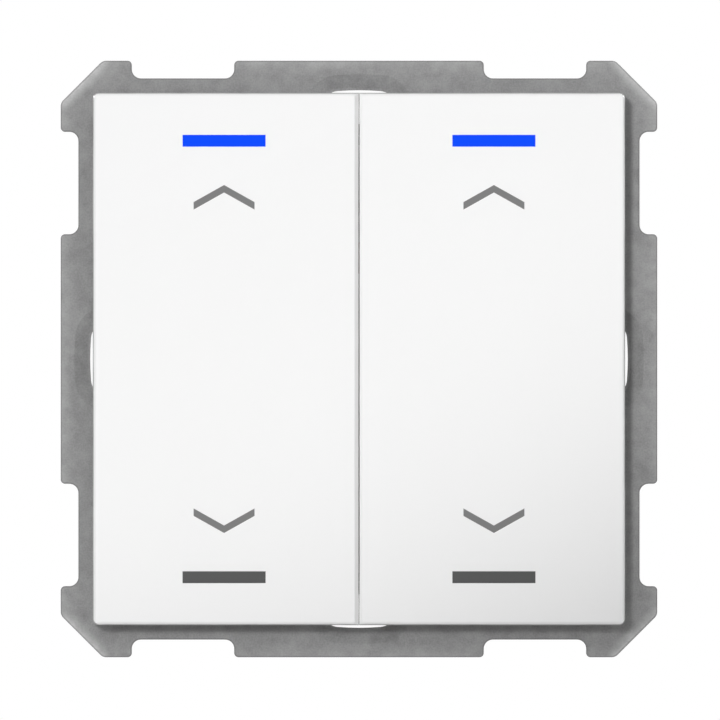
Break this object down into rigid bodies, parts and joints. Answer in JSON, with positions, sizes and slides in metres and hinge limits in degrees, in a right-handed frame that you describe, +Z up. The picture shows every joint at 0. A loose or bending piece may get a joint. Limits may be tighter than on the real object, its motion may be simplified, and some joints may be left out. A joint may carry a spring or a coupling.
{
  "type": "push-button sensor",
  "caption": "Flush wall push-button sensor: paired rockers with light windows and arrow marks on a steel support ring, with a round insert and a bus terminal behind.",
  "frame": {"origin": "centre of the support ring in its back face, which lies on the wall", "axes": "+X to the right and +Z up as seen by the user; the rockers face -Y and the insert points along +Y into the wall"},
  "size_m": [0.071, 0.0395, 0.071],
  "materials": {
    "galvanised_steel": "galvanised, matt",
    "housing_plastic": "fine spark-eroded",
    "cover_plastic": "satin",
    "screw_steel": "zinc plated",
    "rocker_plastic": "polished white",
    "lens_lit": "translucent, lit blue",
    "lens_dark": "smoked",
    "plunger_plastic": "natural",
    "spring_steel": "bright",
    "dome_steel": "plated",
    "clear_plastic": "clear",
    "diode_body": "moulded",
    "diode_red": "tinted",
    "button_plastic": "polished",
    "board_laminate": "solder mask",
    "chip_plastic": "moulded",
    "contact_metal": "plated",
    "socket_plastic": "moulded",
    "capacitor_can": "sleeved",
    "coil_wire": "lacquered copper",
    "terminal_red_plastic": "polished",
    "terminal_black_plastic": "polished"
  },
  "bodies": {
    "base": {"support_ring": "galvanised_steel", "insert_housing": "housing_plastic", "front_cover": "cover_plastic", "housing_screws": "screw_steel", "spring_left_upper": "spring_steel", "spring_left_lower": "spring_steel", "spring_right_upper": "spring_steel", "spring_right_lower": "spring_steel", "dome_left_upper": "dome_steel", "dome_left_lower": "dome_steel", "dome_right_upper": "dome_steel", "dome_right_lower": "dome_steel", "light_pipe_left_upper": "clear_plastic", "light_pipe_left_lower": "clear_plastic", "light_pipe_right_upper": "clear_plastic", "light_pipe_right_lower": "clear_plastic", "diode_left_upper": "diode_body", "diode_left_lower": "diode_body", "diode_right_upper": "diode_body", "diode_right_lower": "diode_body", "programming_dome": "dome_steel", "programming_diode": "diode_red", "programming_light_pipe": "clear_plastic", "control_board": "board_laminate", "controller_chip": "chip_plastic", "board_header": "contact_metal", "board_socket": "socket_plastic", "bus_board": "board_laminate", "bus_capacitor": "capacitor_can", "bus_coil": "coil_wire", "bus_pins": "contact_metal", "terminal_red": "terminal_red_plastic", "terminal_black": "terminal_black_plastic"},
    "rocker_left": {"rocker_left": "rocker_plastic", "lens_left_upper": "lens_lit", "lens_left_lower": "lens_dark"},
    "plunger_left_upper": {"plunger_left_upper": "plunger_plastic"},
    "plunger_left_lower": {"plunger_left_lower": "plunger_plastic"},
    "rocker_right": {"rocker_right": "rocker_plastic", "lens_right_upper": "lens_lit", "lens_right_lower": "lens_dark"},
    "plunger_right_upper": {"plunger_right_upper": "plunger_plastic"},
    "plunger_right_lower": {"plunger_right_lower": "plunger_plastic"},
    "programming_button": {"programming_button": "button_plastic"}
  },
  "joints": [
    {"name": "rocker_left_tilt", "type": "hinge", "parent": "base", "child": "rocker_left", "pos_m": [-0.01375, -0.0084, 0], "axis": [-1, 0, 0], "range_deg": [-1.8, 1.8], "stiffness_Nm_per_rad": 1.5},
    {"name": "plunger_left_upper_slide", "type": "slide", "parent": "base", "child": "plunger_left_upper", "axis": [0, 1, 0], "range_m": [-0.00064, 0.00064], "deforming": ["spring_left_upper", "dome_left_upper"]},
    {"name": "plunger_left_lower_slide", "type": "slide", "parent": "base", "child": "plunger_left_lower", "axis": [0, 1, 0], "range_m": [-0.00064, 0.00064], "deforming": ["spring_left_lower", "dome_left_lower"]},
    {"name": "rocker_right_tilt", "type": "hinge", "parent": "base", "child": "rocker_right", "pos_m": [0.01375, -0.0084, 0], "axis": [-1, 0, 0], "range_deg": [-1.8, 1.8], "stiffness_Nm_per_rad": 1.5},
    {"name": "plunger_right_upper_slide", "type": "slide", "parent": "base", "child": "plunger_right_upper", "axis": [0, 1, 0], "range_m": [-0.00064, 0.00064], "deforming": ["spring_right_upper", "dome_right_upper"]},
    {"name": "plunger_right_lower_slide", "type": "slide", "parent": "base", "child": "plunger_right_lower", "axis": [0, 1, 0], "range_m": [-0.00064, 0.00064], "deforming": ["spring_right_lower", "dome_right_lower"]},
    {"name": "programming_button_slide", "type": "slide", "parent": "base", "child": "programming_button", "axis": [0, 1, 0], "range_m": [0, 0.0004], "stiffness_N_per_m": 3000, "springref_m": -0.0002}
  ],
  "couplings": [
    {"joint": "plunger_left_upper_slide", "follows": "rocker_left_tilt", "m_per_rad": 0.02},
    {"joint": "plunger_left_lower_slide", "follows": "rocker_left_tilt", "m_per_rad": -0.02},
    {"joint": "plunger_right_upper_slide", "follows": "rocker_right_tilt", "m_per_rad": 0.02},
    {"joint": "plunger_right_lower_slide", "follows": "rocker_right_tilt", "m_per_rad": -0.02}
  ]
}
